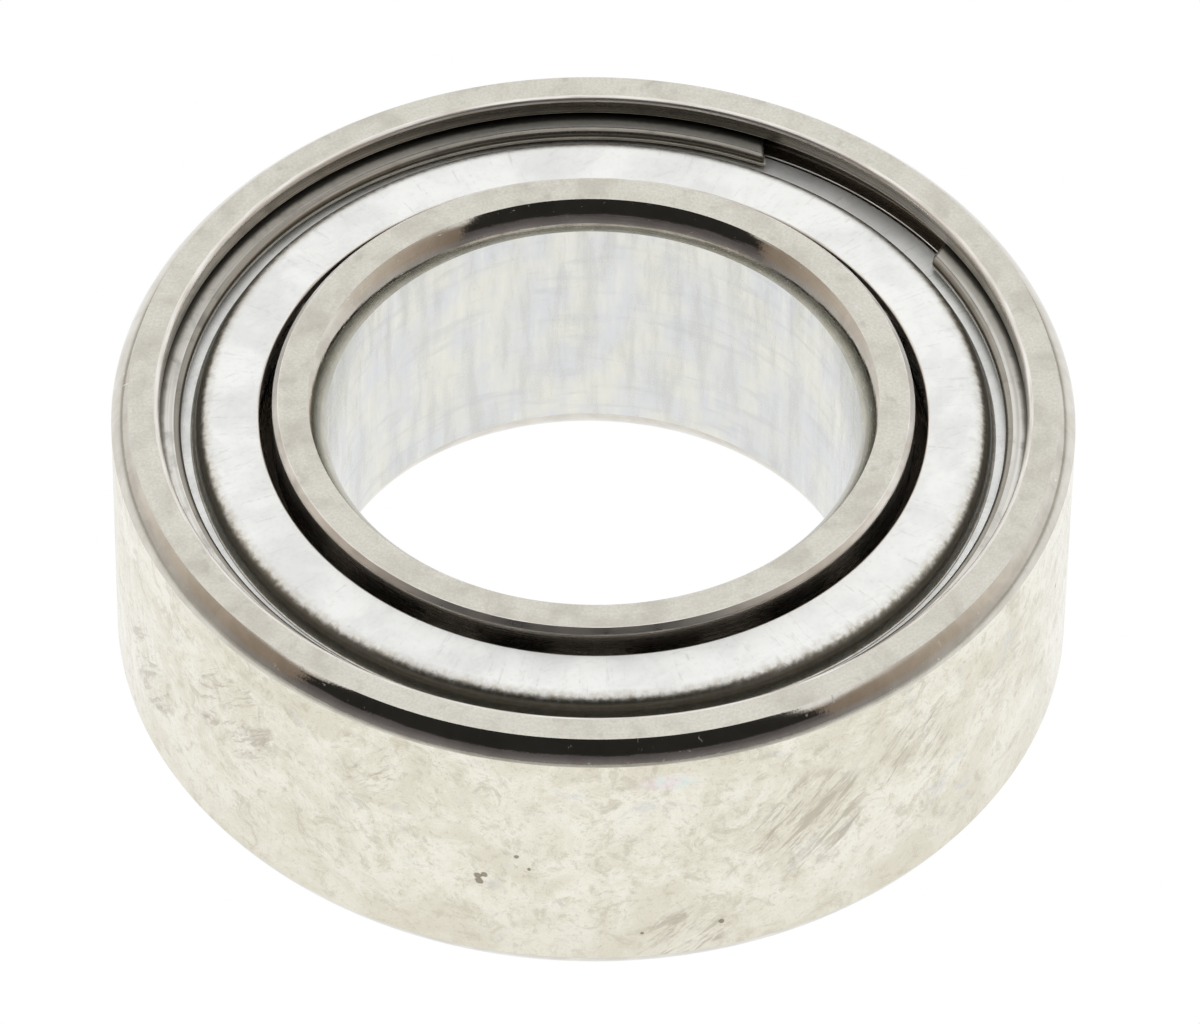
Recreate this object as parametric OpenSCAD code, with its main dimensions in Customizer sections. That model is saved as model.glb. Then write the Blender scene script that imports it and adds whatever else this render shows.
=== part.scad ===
// Miniature single-row deep-groove ball bearing with a removable sheet-metal
// shield and a C-shaped snap ring on each side.
// The bearing axis is Z. The origin is on the axis, halfway across the width.
// "Depth" below always means the distance in from the nearer side face.

/* [Boundary dimensions] */
// Bore diameter, the shaft seat
bore_d = 5; // [4.9:0.05:5.1]
// Outside diameter, the housing seat
outer_d = 9; // [8.95:0.05:9.3]
// Width of both rings
width = 3; // [2.9:0.05:3.4]
// How far the corners of the outside diameter reach in along the side faces
outer_corner_w = 0.155; // [0.1:0.005:0.2]
// How far the corners of the outside diameter reach down from the side faces
outer_corner_h = 0.21; // [0.15:0.01:0.3]
// How far the corners of the bore reach out along the side faces
bore_corner_w = 0.165; // [0.1:0.005:0.2]
// How far the corners of the bore reach down from the side faces
bore_corner_h = 0.27; // [0.15:0.01:0.35]
// Angle through which the rounding of a corner turns
corner_sweep = 32; // [20:2:44]

/* [Rolling elements] */
// Ball diameter
ball_d = 1; // [0.96:0.01:1]
// Number of balls, which fixes their pitch and the joints
ball_count = 11; // [11]
// Radius of the circle through the ball centres
pitch_r = 3.5; // [3.5]
// Raceway groove radius as a share of the ball diameter
groove_share = 0.53; // [0.52:0.01:0.54]
// Radial running clearance between a ball and each raceway
race_play = 0.015; // [0.012:0.001:0.02]

/* [Inner ring] */
// Radius of the ends of the inner ring, beside the shields
inner_land_r = 3; // [2.96:0.01:3.02]
// Size of the edge break at the outside of the inner ring's faces
inner_edge = 0.05; // [0.03:0.01:0.06]
// Depth at which the inner ring steps out to its raceway shoulder
inner_step_depth = 0.55; // [0.5:0.01:0.65]
// Radius of the inner ring's raceway shoulder
inner_shoulder_r = 3.15; // [3.1:0.01:3.2]

/* [Outer ring] */
// Radius of the mouth of the outer ring at its side faces
mouth_r = 4.05; // [4.03:0.01:4.1]
// Depth of the lip between the side face and the snap ring groove
lip_depth = 0.19; // [0.16:0.01:0.2]
// Radius of the bottom of the snap ring groove
groove_r = 4.2; // [4.19:0.01:4.24]
// Radius of the outer ring's raceway shoulder, the inner edge of the shield seat
outer_shoulder_r = 3.85; // [3.8:0.01:3.88]

/* [Shields] */
// Thickness of the shield sheet
shield_t = 0.1; // [0.08:0.01:0.12]
// Radius of the hole in the shield
shield_hole_r = 3.12; // [3.09:0.01:3.16]
// Depth of the raised flat of the shield
shield_flat_depth = 0.18; // [0.16:0.01:0.2]
// Depth of the top of the shield's outer flange
shield_flange_depth = 0.4; // [0.4]
// Radius at which the raised flat starts to roll down
shield_roll_r = 3.53; // [3.5:0.01:3.54]
// Radius of the shield's rim
shield_rim_r = 4.03; // [4.01:0.01:4.03]

/* [Snap rings] */
// Thickness of the snap ring
snap_t = 0.15; // [0.13:0.01:0.16]
// Inside radius of the snap ring
snap_in_r = 3.85; // [3.83:0.01:3.9]
// Outside radius of the snap ring
snap_out_r = 4.17; // [4.14:0.01:4.17]
// Direction of the middle of the gap between the ring's ends
snap_gap_at = 51; // [0:1:359]
// Angle of the gap between the ring's ends
snap_gap = 31; // [20:1:40]

/* [Cage] */
// Thickness of the cage ribbon
cage_t = 0.1; // [0.08:0.01:0.11]
// Inside radius of the cage
cage_in_r = 3.27; // [3.24:0.01:3.32]
// Outside radius of the cage
cage_out_r = 3.73; // [3.68:0.01:3.76]
// Clearance around each ball in its pocket
pocket_play = 0.04; // [0.03:0.01:0.05]
// Radius of a rivet shank
rivet_r = 0.1; // [0.08:0.01:0.1]
// Radius of a rivet head
rivet_head_r = 0.18; // [0.16:0.01:0.19]
// Height of a rivet head
rivet_head_h = 0.08; // [0.06:0.01:0.1]

/* [Hidden] */
$fn = 128;
hw = width / 2;
ball_r = ball_d / 2;
race_r = groove_share * ball_d;
outer_race_r = pitch_r + ball_r + race_play;   // bottom of the outer raceway
inner_race_r = pitch_r - ball_r - race_play;   // bottom of the inner raceway
seat_depth = shield_flange_depth + shield_t;   // shelf that carries the shield
pocket_r = ball_r + pocket_play;
ball_step = 360 / ball_count;
first_ball_at = 90;
edge = 0.05;                                   // edge breaks at the mouth of the outer ring
eps = 0.01;

function arc(cx, cy, r, a0, a1, n) =
    [for (i = [0 : n]) let (a = a0 + (a1 - a0) * i / n) [cx + r * cos(a), cy + r * sin(a)]];

// What a rounded corner takes off a square corner at [x, y]. It reaches w along
// the face and h along the wall, and turns through corner_sweep between them.
// sx and sy say on which side of the corner the material lies.
module corner_cut(x, y, w, h, sx, sy) {
    chord = sqrt(w * w + h * h);
    rad = chord / 2 / sin(corner_sweep / 2);
    back = rad * cos(corner_sweep / 2);
    difference() {
        translate([x - (sx > 0 ? eps : w), y - (sy > 0 ? eps : h)]) square([w + eps, h + eps]);
        translate([x + sx * (w / 2 + back * h / chord), y + sy * (h / 2 + back * w / chord)]) circle(rad);
    }
}

// Half-section of the outer ring: X is the radius, Y is the height
module outer_ring_section() {
    R = outer_d / 2;
    difference() {
        polygon(concat(
            [[R, -hw], [R, hw]],
            [[mouth_r + edge, hw], [mouth_r, hw - edge],
             [mouth_r, hw - lip_depth], [groove_r, hw - lip_depth - 0.04],
             [groove_r, hw - shield_flange_depth - 0.01], [mouth_r + 0.005, hw - shield_flange_depth - 0.01],
             [mouth_r + 0.005, hw - seat_depth], [outer_shoulder_r, hw - seat_depth]],
            [[outer_shoulder_r, -hw + seat_depth], [mouth_r + 0.005, -hw + seat_depth],
             [mouth_r + 0.005, -hw + shield_flange_depth + 0.01], [groove_r, -hw + shield_flange_depth + 0.01],
             [groove_r, -hw + lip_depth + 0.04], [mouth_r, -hw + lip_depth],
             [mouth_r, -hw + edge], [mouth_r + edge, -hw]]));
        translate([outer_race_r - race_r, 0]) circle(race_r);
        corner_cut(R, hw, outer_corner_w, outer_corner_h, -1, -1);
        corner_cut(R, -hw, outer_corner_w, outer_corner_h, -1, 1);
    }
}

// Half-section of the inner ring
module inner_ring_section() {
    r = bore_d / 2;
    step = inner_shoulder_r - inner_land_r;
    difference() {
        polygon([[r, -hw], [inner_land_r - inner_edge, -hw], [inner_land_r, -hw + inner_edge],
            [inner_land_r, -hw + inner_step_depth - step / 2], [inner_shoulder_r, -hw + inner_step_depth + step / 2],
            [inner_shoulder_r, hw - inner_step_depth - step / 2], [inner_land_r, hw - inner_step_depth + step / 2],
            [inner_land_r, hw - inner_edge], [inner_land_r - inner_edge, hw], [r, hw]]);
        translate([inner_race_r + race_r, 0]) circle(race_r);
        corner_cut(r, hw, bore_corner_w, bore_corner_h, 1, -1);
        corner_cut(r, -hw, bore_corner_w, bore_corner_h, 1, 1);
    }
}

// Half-section of the upper shield: a raised flat, a rolled-down shoulder and a
// flange that rests on the seat. Sheet of constant thickness, bent twice: a wide
// bend at the top of the shoulder and a tight one at its foot.
module shield_section() {
    t = shield_t;
    top = hw - shield_flat_depth;
    low = hw - shield_flange_depth;
    ru = 0.2;                         // outside radius of the upper bend
    rl = 0.13;                        // outside radius of the lower bend
    slope = 75;                       // how steeply the shoulder falls
    run = (ru + rl - t) * sin(slope);
    fall = (ru + rl - t) * (1 - cos(slope));
    extra = (top - low - fall) / sin(slope);   // straight part of the shoulder
    xe = shield_roll_r + run + extra * cos(slope);
    polygon(concat(
        [[shield_hole_r, top - t], [shield_hole_r, top - 0.02], [shield_hole_r + 0.02, top]],
        arc(shield_roll_r, top - ru, ru, 90, 90 - slope, 10),
        arc(xe, low + rl - t, rl - t, 270 - slope, 270, 4),
        [[shield_rim_r, low], [shield_rim_r, low - t]],
        arc(xe, low + rl - t, rl, 270, 270 - slope, 8),
        arc(shield_roll_r, top - ru, ru - t, 90 - slope, 90, 6)));
}

// Half-section of the upper snap ring: flat strip with well rounded edges
module snap_ring_section() {
    b = hw - shield_flange_depth;
    e = snap_t / 2 - 0.005;           // radius of the edges, which leaves a little flat between them
    polygon(concat(
        arc(snap_in_r + e, b + e, e, 270, 180, 5),
        arc(snap_in_r + e, b + snap_t - e, e, 180, 90, 5),
        arc(snap_out_r - e, b + snap_t - e, e, 90, 0, 5),
        arc(snap_out_r - e, b + e, e, 0, -90, 5)));
}

// The wedge that is missing from the snap ring. Its ends are cut on a slant,
// so that the gap is a little wider at the outside of the ring.
module snap_gap_cut() {
    a0 = snap_gap_at - snap_gap / 2;
    a1 = snap_gap_at + snap_gap / 2;
    s = 2.2;
    translate([0, 0, hw - shield_flange_depth - 0.2]) linear_extrude(0.6)
        polygon([
            [(snap_in_r - 0.1) * cos(a0 - s * 0.6), (snap_in_r - 0.1) * sin(a0 - s * 0.6)],
            [(snap_out_r + 0.1) * cos(a0 + s), (snap_out_r + 0.1) * sin(a0 + s)],
            [(snap_out_r + 0.3) * cos(snap_gap_at), (snap_out_r + 0.3) * sin(snap_gap_at)],
            [(snap_out_r + 0.1) * cos(a1 + s), (snap_out_r + 0.1) * sin(a1 + s)],
            [(snap_in_r - 0.1) * cos(a1 - s * 0.6), (snap_in_r - 0.1) * sin(a1 - s * 0.6)]]);
}

module at_ball(k) { rotate([0, 0, first_ball_at + (k - 1) * ball_step]) translate([pitch_r, 0, 0]) children(); }

module at_rivet(k) { rotate([0, 0, first_ball_at + (k - 0.5) * ball_step]) translate([pitch_r, 0, 0]) children(); }

module band(r_in, r_out, z0, h) {
    translate([0, 0, z0]) rotate_extrude() translate([r_in, 0]) square([r_out - r_in, h]);
}

// A round bar along the radius through a ball's centre
module radial_bar(r) { rotate([0, 90, 0]) cylinder(r = r, h = 1.6, center = true); }

// One half of the pressed ribbon cage: flat lands between arched ball pockets
module cage_half_shape() {
    difference() {
        union() {
            band(cage_in_r, cage_out_r, 0, cage_t);
            intersection() {
                band(cage_in_r, cage_out_r, 0, pocket_r + 2 * cage_t);
                union() { for (k = [1 : ball_count]) at_ball(k) radial_bar(pocket_r + cage_t); }
            }
        }
        for (k = [1 : ball_count]) at_ball(k) radial_bar(pocket_r);
        for (k = [1 : ball_count]) at_rivet(k)
            translate([0, 0, -cage_t]) cylinder(r = rivet_r, h = 3 * cage_t);
    }
}

// A rivet through both cage halves, with a low domed head at each end
module rivet() {
    h = rivet_head_h;
    r = rivet_head_r;
    dome_r = (r * r + h * h) / (2 * h);
    rotate_extrude() polygon(concat(
        [[0, -cage_t - h]],
        [for (i = [1 : 5]) let (a = asin(r / dome_r) * i / 6) [dome_r * sin(a), -cage_t - h + dome_r * (1 - cos(a))]],
        [[r, -cage_t], [rivet_r, -cage_t], [rivet_r, cage_t], [r, cage_t]],
        [for (i = [5 : -1 : 1]) let (a = asin(r / dome_r) * i / 6) [dome_r * sin(a), cage_t + h - dome_r * (1 - cos(a))]],
        [[0, cage_t + h]]));
}

module outer_ring() { color([0.80, 0.79, 0.75]) rotate_extrude() outer_ring_section(); }

module inner_ring() { color([0.82, 0.81, 0.77]) rotate_extrude() inner_ring_section(); }

module ball(k) { color([0.86, 0.87, 0.88]) at_ball(k) sphere(ball_r); }

module upper_cage_half() { color([0.72, 0.71, 0.68]) cage_half_shape(); }

module lower_cage_half() { color([0.70, 0.69, 0.66]) mirror([0, 0, 1]) cage_half_shape(); }

module cage_rivets() { color([0.62, 0.60, 0.56]) for (k = [1 : ball_count]) at_rivet(k) rivet(); }

module upper_shield() { color([0.92, 0.92, 0.90]) rotate_extrude() shield_section(); }

module lower_shield() { color([0.92, 0.92, 0.90]) mirror([0, 0, 1]) rotate_extrude() shield_section(); }

module snap_ring_shape() {
    difference() {
        rotate_extrude() snap_ring_section();
        snap_gap_cut();
    }
}

module upper_snap_ring() { color([0.66, 0.64, 0.58]) snap_ring_shape(); }

module lower_snap_ring() { color([0.66, 0.64, 0.58]) rotate([180, 0, 0]) snap_ring_shape(); }

outer_ring();
inner_ring();
ball(1);  // ball_01
ball(2);  // ball_02
ball(3);  // ball_03
ball(4);  // ball_04
ball(5);  // ball_05
ball(6);  // ball_06
ball(7);  // ball_07
ball(8);  // ball_08
ball(9);  // ball_09
ball(10);  // ball_10
ball(11);  // ball_11
upper_cage_half();
lower_cage_half();
cage_rivets();
upper_shield();
lower_shield();
upper_snap_ring();
lower_snap_ring();
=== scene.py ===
import bpy, math
from mathutils import Vector, Matrix


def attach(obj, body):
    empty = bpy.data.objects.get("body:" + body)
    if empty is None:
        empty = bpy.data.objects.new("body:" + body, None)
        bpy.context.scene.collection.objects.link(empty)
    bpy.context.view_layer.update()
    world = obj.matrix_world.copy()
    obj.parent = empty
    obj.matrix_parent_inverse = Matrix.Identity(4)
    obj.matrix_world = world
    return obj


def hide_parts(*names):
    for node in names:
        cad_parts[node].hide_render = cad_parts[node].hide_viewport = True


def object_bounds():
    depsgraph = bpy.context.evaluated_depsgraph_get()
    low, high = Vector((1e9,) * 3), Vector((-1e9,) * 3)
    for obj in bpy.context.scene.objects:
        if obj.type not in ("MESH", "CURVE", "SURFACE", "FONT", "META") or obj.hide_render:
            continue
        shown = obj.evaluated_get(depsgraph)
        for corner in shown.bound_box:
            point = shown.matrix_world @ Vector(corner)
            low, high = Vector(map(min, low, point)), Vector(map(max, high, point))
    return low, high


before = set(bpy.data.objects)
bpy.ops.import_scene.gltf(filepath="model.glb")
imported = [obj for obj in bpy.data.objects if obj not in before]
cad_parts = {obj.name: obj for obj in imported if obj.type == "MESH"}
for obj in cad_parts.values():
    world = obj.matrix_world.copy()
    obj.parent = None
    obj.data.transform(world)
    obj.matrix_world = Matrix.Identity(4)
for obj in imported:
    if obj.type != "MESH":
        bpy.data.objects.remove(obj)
cad_lo, cad_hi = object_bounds()
scene = bpy.context.scene
MM = 0.001
SEG = 384                       # stations round every turned piece

# ---------------------------------------------------------------- sizes, in mm
R_OUT, R_BORE, HW = 4.5, 2.5, 1.5
MOUTH, GROOVE, SEAT_R, SHOULDER_O = 4.05, 4.20, 4.055, 3.85
LAND, SHOULDER_I = 3.0, 3.15
PITCH, BALL_R, RACE_R = 3.5, 0.5, 0.53
N_BALLS, FIRST = 11, 90.0
STEP = 360.0 / N_BALLS


# ================================================================ profiles
# A profile is a list of pieces: ("l", p0, p1, tag) or ("a", centre, radius, a0, a1, tag).
# Each is turned into segments that keep the true normals at both ends, so
# straight and round stretches shade exactly and real edges stay crisp.

def path(points, start_tag=None):
    """Closed outline from corners (r, z, fillet, tag of the side that follows)."""
    n = len(points)
    cuts = []
    for i in range(n):
        p = Vector(points[i][:2]); a = Vector(points[i - 1][:2]); b = Vector(points[(i + 1) % n][:2])
        f = points[i][2]
        u = (a - p).normalized(); v = (b - p).normalized()
        ang = math.acos(max(-1, min(1, u.dot(v))))
        if f <= 0 or ang > math.pi - 1e-3:
            cuts.append((p, p, None))
            continue
        d = f / math.tan(ang / 2)
        c = p + (u + v).normalized() * (f / math.sin(ang / 2))
        cuts.append((p + u * d, p + v * d, (c, f)))
    out = []
    for i in range(n):
        s, e, arc = cuts[i]
        tag = points[i][3]
        if arc:
            c, f = arc
            a0 = math.atan2(s.y - c.y, s.x - c.x); a1 = math.atan2(e.y - c.y, e.x - c.x)
            while a1 - a0 > math.pi: a1 -= 2 * math.pi
            while a1 - a0 < -math.pi: a1 += 2 * math.pi
            out.append(("a", c, f, a0, a1, points[i][4] if len(points[i]) > 4 else tag))
        nxt = cuts[(i + 1) % n][0]
        if (nxt - e).length > 1e-6:
            if len(points[i]) > 5 and points[i][5]:           # this side is a given arc
                c, f, a0, a1 = points[i][5]
                out.append(("a", Vector(c), f, a0, a1, tag))
            else:
                out.append(("l", e, nxt, tag))
    return out


def segments(pieces, step_deg=7.5, line_step=0.12):
    """(p0, n0, p1, n1, tag) per mesh segment; n points out of the material."""
    pts = []
    for q in pieces:
        if q[0] == "l":
            _, a, b, tag = q
            k = max(1, int(math.ceil((b - a).length / line_step)))
            d = (b - a).normalized(); nrm = Vector((d.y, -d.x))
            for i in range(k):
                pts.append((a.lerp(b, i / k), nrm, a.lerp(b, (i + 1) / k), nrm, tag))
        else:
            _, c, f, a0, a1, tag = q
            k = max(2, int(math.ceil(abs(math.degrees(a1 - a0)) / step_deg)))
            s = 1.0 if a1 > a0 else -1.0
            for i in range(k):
                t0, t1 = a0 + (a1 - a0) * i / k, a0 + (a1 - a0) * (i + 1) / k
                e0 = Vector((math.cos(t0), math.sin(t0))); e1 = Vector((math.cos(t1), math.sin(t1)))
                pts.append((c + e0 * f, e0 * s, c + e1 * f, e1 * s, tag))
    return pts


def finish_mesh(name, verts, faces, normals, tags, mats):
    """Object from raw lists. normals holds one vector per face corner, or None for plain smooth shading."""
    me = bpy.data.meshes.new(name)
    me.from_pydata([tuple(Vector(v) * MM) for v in verts], [], faces)
    order = list(mats)
    for m in order:
        me.materials.append(mats[m])
    me.polygons.foreach_set("use_smooth", [True] * len(me.polygons))
    me.polygons.foreach_set("material_index", [order.index(t) if t in order else 0 for t in tags])
    me.update()
    if normals is not None:
        me.normals_split_custom_set([n.normalized() for f in normals for n in f])
    o = bpy.data.objects.new(name, me)
    scene.collection.objects.link(o)
    return o


def lathe(name, pieces, mats, seg=SEG, step_deg=7.5, line_step=0.12, mirror=False):
    """A full turn of a closed outline about Z."""
    sg = segments(pieces, step_deg, line_step)
    m = len(sg)
    verts, faces, normals, tags = [], [], [], []
    cs = [(math.cos(2 * math.pi * i / seg), math.sin(2 * math.pi * i / seg)) for i in range(seg)]
    for c, s in cs:
        for p0, _, _, _, _ in sg:
            verts.append((p0.x * c, p0.x * s, p0.y))
    for i in range(seg):
        k = (i + 1) % seg
        c0, s0 = cs[i]; c1, s1 = cs[k]
        for j, (p0, n0, p1, n1, tag) in enumerate(sg):
            l = (j + 1) % m
            # outline runs with the material on its left, so this order faces outward
            faces.append((i * m + j, k * m + j, k * m + l, i * m + l))
            normals.append((Vector((n0.x * c0, n0.x * s0, n0.y)), Vector((n0.x * c1, n0.x * s1, n0.y)),
                            Vector((n1.x * c1, n1.x * s1, n1.y)), Vector((n1.x * c0, n1.x * s0, n1.y))))
            tags.append(tag)
    if mirror:
        verts = [(x, y, -z) for x, y, z in verts]
        faces = [tuple(reversed(f)) for f in faces]
        normals = [tuple(Vector((n.x, n.y, -n.z)) for n in reversed(f)) for f in normals]
    return finish_mesh(name, verts, faces, normals, tags, mats)


def corner_arc(x, z, w, h, sx, sz, sweep=32.0):
    """The tumbled corner between a side face and a ground wall: a round of its
    own that meets both at a slight edge. It reaches w along the face and h along
    the wall from the corner (x, z), whose material lies towards (sx, sz).
    Returns (centre, radius, angle at the wall, angle at the face)."""
    chord = math.hypot(w, h)
    rho = chord / 2 / math.sin(math.radians(sweep / 2))
    back = rho * math.cos(math.radians(sweep / 2))
    c = Vector((x + sx * (w / 2 + back * h / chord), z + sz * (h / 2 + back * w / chord)))
    at_wall = math.atan2(z + sz * h - c.y, x - c.x)
    at_face = math.atan2(z - c.y, x + sx * w - c.x)
    return c, rho, at_wall, at_face


# ---------------------------------------------------------------- outer ring
def outer_ring_outline():
    cw, ch = 0.155, 0.21                             # how far a corner reaches along the face and the wall
    top_c, rho, aW, aF = corner_arc(R_OUT, HW, cw, ch, -1, -1)
    bot_c, _, bW, bF = corner_arc(R_OUT, -HW, cw, ch, -1, 1)
    rf, zw = R_OUT - cw, HW - ch                     # where the face ends and the wall starts
    zr = math.sqrt(RACE_R ** 2 - (SHOULDER_O - (PITCH + BALL_R + 0.015 - RACE_R)) ** 2)
    rc = PITCH + BALL_R + 0.015 - RACE_R
    ar = math.atan2(zr, SHOULDER_O - rc)
    pts = [
        # up the outside
        (R_OUT, -zw, 0, "wall"),
        (R_OUT, zw, 0, "corner", None, (top_c, rho, aW, aF)),
        (rf, HW, 0, "face"),
        (MOUTH, HW, 0.05, "recess", "edge"),
        (MOUTH, HW - 0.19, 0.012, "recess", "edge"),
        (GROOVE, HW - 0.23, 0.02, "recess"),
        (GROOVE, HW - 0.41, 0.02, "recess"),
        (SEAT_R, HW - 0.41, 0.012, "recess", "edge"),
        (SEAT_R, HW - 0.50, 0.012, "recess"),
        (SHOULDER_O, HW - 0.50, 0.02, "recess", "edge"),
        (SHOULDER_O, zr, 0, "race", None, ((rc, 0), RACE_R, ar, -ar)),
        (SHOULDER_O, -zr, 0, "recess"),
        (SHOULDER_O, -HW + 0.50, 0.02, "recess", "edge"),
        (SEAT_R, -HW + 0.50, 0.012, "recess"),
        (SEAT_R, -HW + 0.41, 0.012, "recess", "edge"),
        (GROOVE, -HW + 0.41, 0.02, "recess"),
        (GROOVE, -HW + 0.23, 0.02, "recess"),
        (MOUTH, -HW + 0.19, 0.012, "recess", "edge"),
        (MOUTH, -HW, 0.05, "face", "edge"),
        (rf, -HW, 0, "corner", None, (bot_c, rho, bF, bW)),
    ]
    return path(pts)


# ---------------------------------------------------------------- inner ring
def inner_ring_outline():
    cw, ch, eb = 0.165, 0.27, 0.05
    top_c, rho, aW, aF = corner_arc(R_BORE, HW, cw, ch, 1, -1)
    bot_c, _, bW, bF = corner_arc(R_BORE, -HW, cw, ch, 1, 1)
    rf, zw = R_BORE + cw, HW - ch
    rc = PITCH - BALL_R - 0.015 + RACE_R
    zr = math.sqrt(RACE_R ** 2 - (rc - SHOULDER_I) ** 2)
    ar = math.atan2(zr, SHOULDER_I - rc)             # in the left half plane
    d0, d1 = 0.47, 0.63                              # where the step out begins and ends
    pts = [
        (rf, HW, 0, "corner", None, (top_c, rho, aF, aW)),
        (R_BORE, zw, 0, "bore"),
        (R_BORE, -zw, 0, "corner", None, (bot_c, rho, bW, bF)),
        (rf, -HW, 0, "face"),
        (LAND - eb, -HW, 0.012, "edge"),
        (LAND, -HW + eb, 0.03, "land", "edge"),
        (LAND, -HW + d0, 0.02, "land"),
        (SHOULDER_I, -HW + d1, 0.02, "land", "edge"),
        (SHOULDER_I, -zr, 0, "race", None, ((rc, 0), RACE_R, 2 * math.pi - ar, ar)),
        (SHOULDER_I, zr, 0, "land"),
        (SHOULDER_I, HW - d1, 0.02, "land", "edge"),
        (LAND, HW - d0, 0.02, "land"),
        (LAND, HW - eb, 0.03, "edge"),
        (LAND - eb, HW, 0.012, "face", "edge"),
    ]
    return path(pts)


# ---------------------------------------------------------------- shields
def shield_outline():
    t, ru, rl = 0.1, 0.2, 0.13                       # sheet, outside radius of the upper and lower bends
    top, low = HW - 0.18, HW - 0.40
    slope = math.radians(75)
    hole, roll, rim = 3.12, 3.53, 4.03
    run = (ru + rl - t) * math.sin(slope)
    fall = (ru + rl - t) * (1 - math.cos(slope))
    extra = (top - low - fall) / math.sin(slope)
    xe = roll + run + extra * math.cos(slope)
    h = math.pi / 2
    up, dn = Vector((roll, top - ru)), Vector((xe, low + rl - t))
    on = lambda c, f, a: c + Vector((math.cos(a), math.sin(a))) * f
    e = 0.022                                        # burr-free hole edge
    # outline with the material on its left: up the rim, inward over the top, down the hole, outward below
    return [
        ("l", Vector((rim, low - t + 0.015)), Vector((rim, low - 0.02)), "rim"),
        ("a", Vector((rim - 0.02, low - 0.02)), 0.02, 0, h, "rim"),
        ("l", Vector((rim - 0.02, low)), on(dn, rl - t, -h), "flange"),
        ("a", dn, rl - t, -h, -h - slope, "shoulder"),
        ("l", on(dn, rl - t, -h - slope), on(up, ru, h - slope), "shoulder"),
        ("a", up, ru, h - slope, h, "shoulder"),
        ("l", on(up, ru, h), Vector((hole + e, top)), "sheet"),
        ("a", Vector((hole + e, top - e)), e, h, 2 * h, "edge"),
        ("l", Vector((hole, top - e)), Vector((hole, top - t + 0.012)), "edge"),
        ("a", Vector((hole + 0.012, top - t + 0.012)), 0.012, 2 * h, 3 * h, "edge"),
        ("l", Vector((hole + 0.012, top - t)), on(up, ru - t, h), "under"),
        ("a", up, ru - t, h, h - slope, "under"),
        ("l", on(up, ru - t, h - slope), on(dn, rl, -h - slope), "under"),
        ("a", dn, rl, -h - slope, -h, "under"),
        ("l", on(dn, rl, -h), Vector((rim - 0.015, low - t)), "under"),
        ("a", Vector((rim - 0.015, low - t + 0.015)), 0.015, -h, 0, "rim"),
    ]


# ---------------------------------------------------------------- snap rings
def snap_outline():
    b, t = HW - 0.40, 0.15
    i, o = 3.85, 4.17
    pts = [
        (o, b, 0.07, "side", "edge"),
        (o, b + t, 0.07, "top", "edge"),
        (i, b + t, 0.07, "side", "edge"),
        (i, b, 0.07, "under", "edge"),
    ]
    return path(pts)


def snap_ring(name, mats, mirror):
    sg = segments(snap_outline(), 11.25, 0.1)
    m = len(sg)
    a0, a1 = 51 + 15.5, 51 - 15.5 + 360              # the gap's two ends, going round the long way
    rm = 4.01
    nose = 0.05                                      # how far back each end is rounded, mm
    arc_mm = math.radians(a1 - a0) * rm
    st = []                                          # (distance from the start in mm, inset)
    K = 8
    for k in range(K + 1):
        u = k / K
        s = nose * (1 - math.cos(u * math.pi / 2))
        st.append((s, nose * 0.8 * (1 - math.sin(u * math.pi / 2)), math.cos(u * math.pi / 2)))
    body = []
    n = 340
    for k in range(1, n):
        body.append((nose + (arc_mm - 2 * nose) * k / n, 0.0, 0.0))
    end = [(arc_mm - s, ins, -tilt) for s, ins, tilt in reversed(st)]
    stations = st + body + end
    verts, faces, normals, tags, cor = [], [], [], [], []
    for s, ins, tilt in stations:
        ring = []
        for p0, n0, _, _, _ in sg:
            p = p0 - Vector((n0.x, n0.y)) * ins
            # both ends are cut on a slant that dies out away from the cut
            w = max(0.0, 1 - s / 1.2) ** 2 + max(0.0, 1 - (arc_mm - s) / 1.2) ** 2
            a = math.radians(a0) + s / rm + math.radians(7.0) * (p0.x - rm) * w
            ring.append((p.x * math.cos(a), p.x * math.sin(a), p.y))
            cor.append((a, tilt))
        verts += ring
    S = len(stations)
    def nrm(i, j, n2):
        a, tilt = cor[i * m + j]
        rad = Vector((math.cos(a), math.sin(a), 0)); tan = Vector((-math.sin(a), math.cos(a), 0))
        c = math.sqrt(max(0.0, 1 - tilt * tilt))
        return (rad * n2.x + Vector((0, 0, n2.y))) * c - tan * tilt
    for i in range(S - 1):
        for j, (p0, n0, p1, n1, tag) in enumerate(sg):
            l = (j + 1) % m
            faces.append((i * m + j, (i + 1) * m + j, (i + 1) * m + l, i * m + l))
            normals.append((nrm(i, j, n0), nrm(i + 1, j, n0), nrm(i + 1, l, n1), nrm(i, l, n1)))
            tags.append(tag if 2 < i < S - 4 else "cut")
    for i, flip in ((0, False), (S - 1, True)):
        a = sum(cor[i * m + j][0] for j in range(m)) / m
        tan = Vector((-math.sin(a), math.cos(a), 0)) * (1 if flip else -1)
        f = tuple(i * m + j for j in range(m))
        # fan round a middle vertex, so the cap is plain triangles
        mid = len(verts)
        verts.append(tuple(sum((Vector(verts[v]) for v in f), Vector()) / m))
        for j in range(m):
            l = (j + 1) % m
            tri = (mid, i * m + l, i * m + j) if flip else (mid, i * m + j, i * m + l)
            faces.append(tri); normals.append((tan, tan, tan)); tags.append("cut")
    if mirror:                                       # turned over about the X axis
        verts = [(x, -y, -z) for x, y, z in verts]
        normals = [tuple(Vector((v.x, -v.y, -v.z)) for v in f) for f in normals]
    return finish_mesh(name, verts, faces, normals, tags, mats)


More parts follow.
